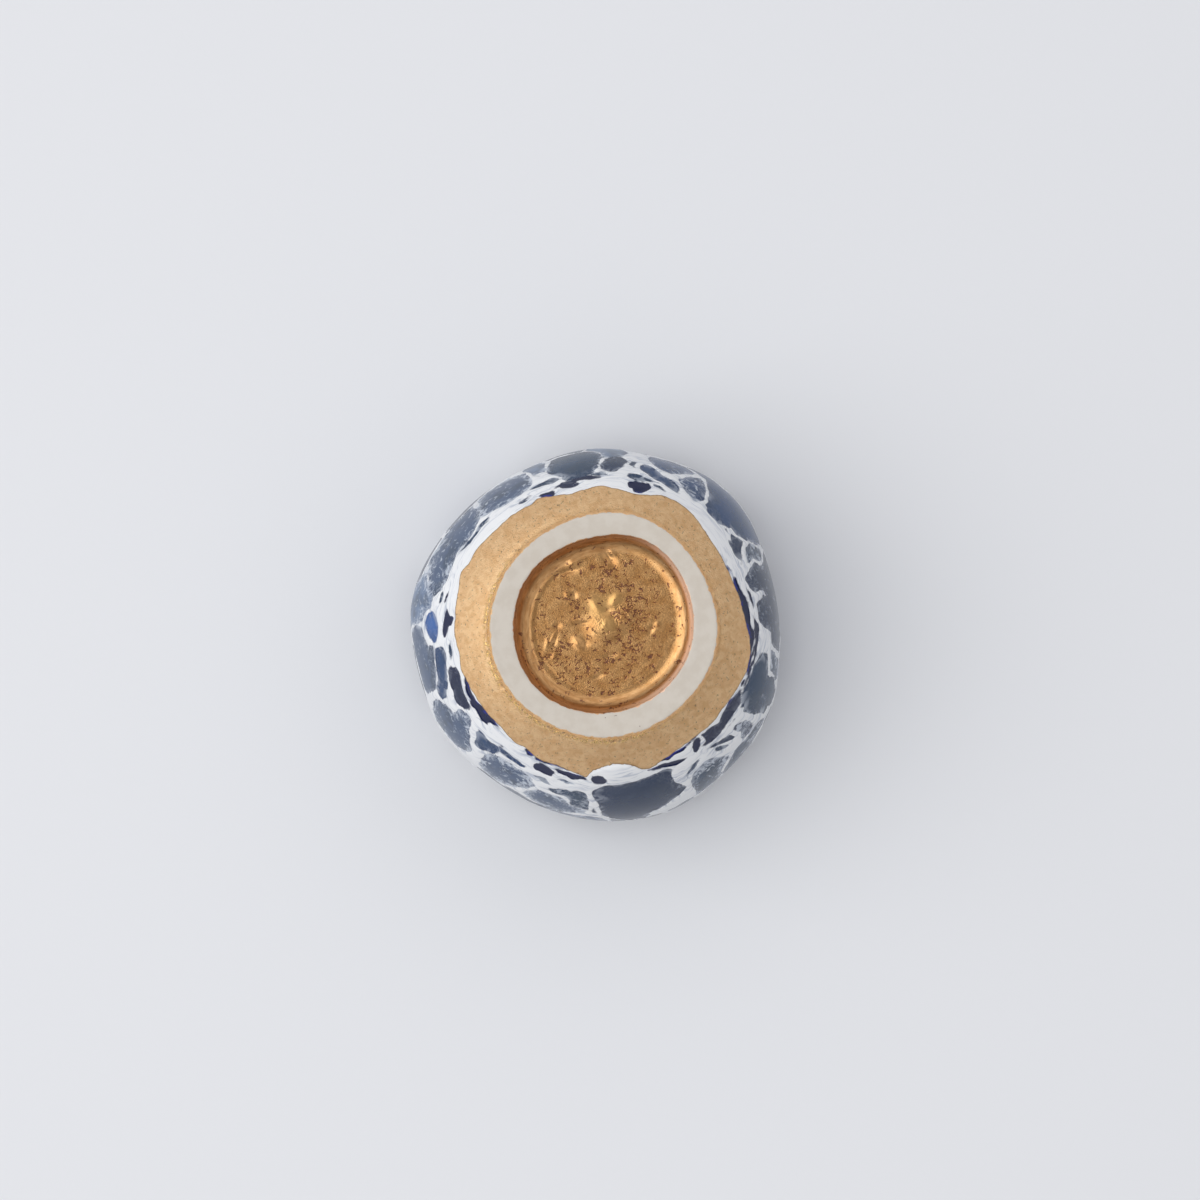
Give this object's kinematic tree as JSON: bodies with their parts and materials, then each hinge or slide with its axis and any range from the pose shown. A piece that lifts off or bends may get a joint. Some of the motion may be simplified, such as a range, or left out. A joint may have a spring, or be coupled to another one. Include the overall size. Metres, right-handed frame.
{
  "type": "sake cup",
  "caption": "Small hand-formed porcelain sake cup with a marbled glaze and a broad gilded foot, standing upside down on its lip, as a drinking vessel or ornament.",
  "frame": {"origin": "on the surface that the lip stands on, in the middle of the cup's width and depth", "axes": "+Z runs from the mouth to the foot, because the cup stands turned over on its lip as in the picture; +X is to the right and +Y is up in the picture. Turn it half round about X to stand it on its foot for use"},
  "size_m": [0.0656, 0.0662, 0.05],
  "materials": {
    "glazed_porcelain": "marbled cobalt and white glaze, satin; gold lustre on the foot, bare clay on the foot ring's face"
  },
  "bodies": {
    "root": {"sake_cup": "glazed_porcelain"}
  },
  "joints": []
}
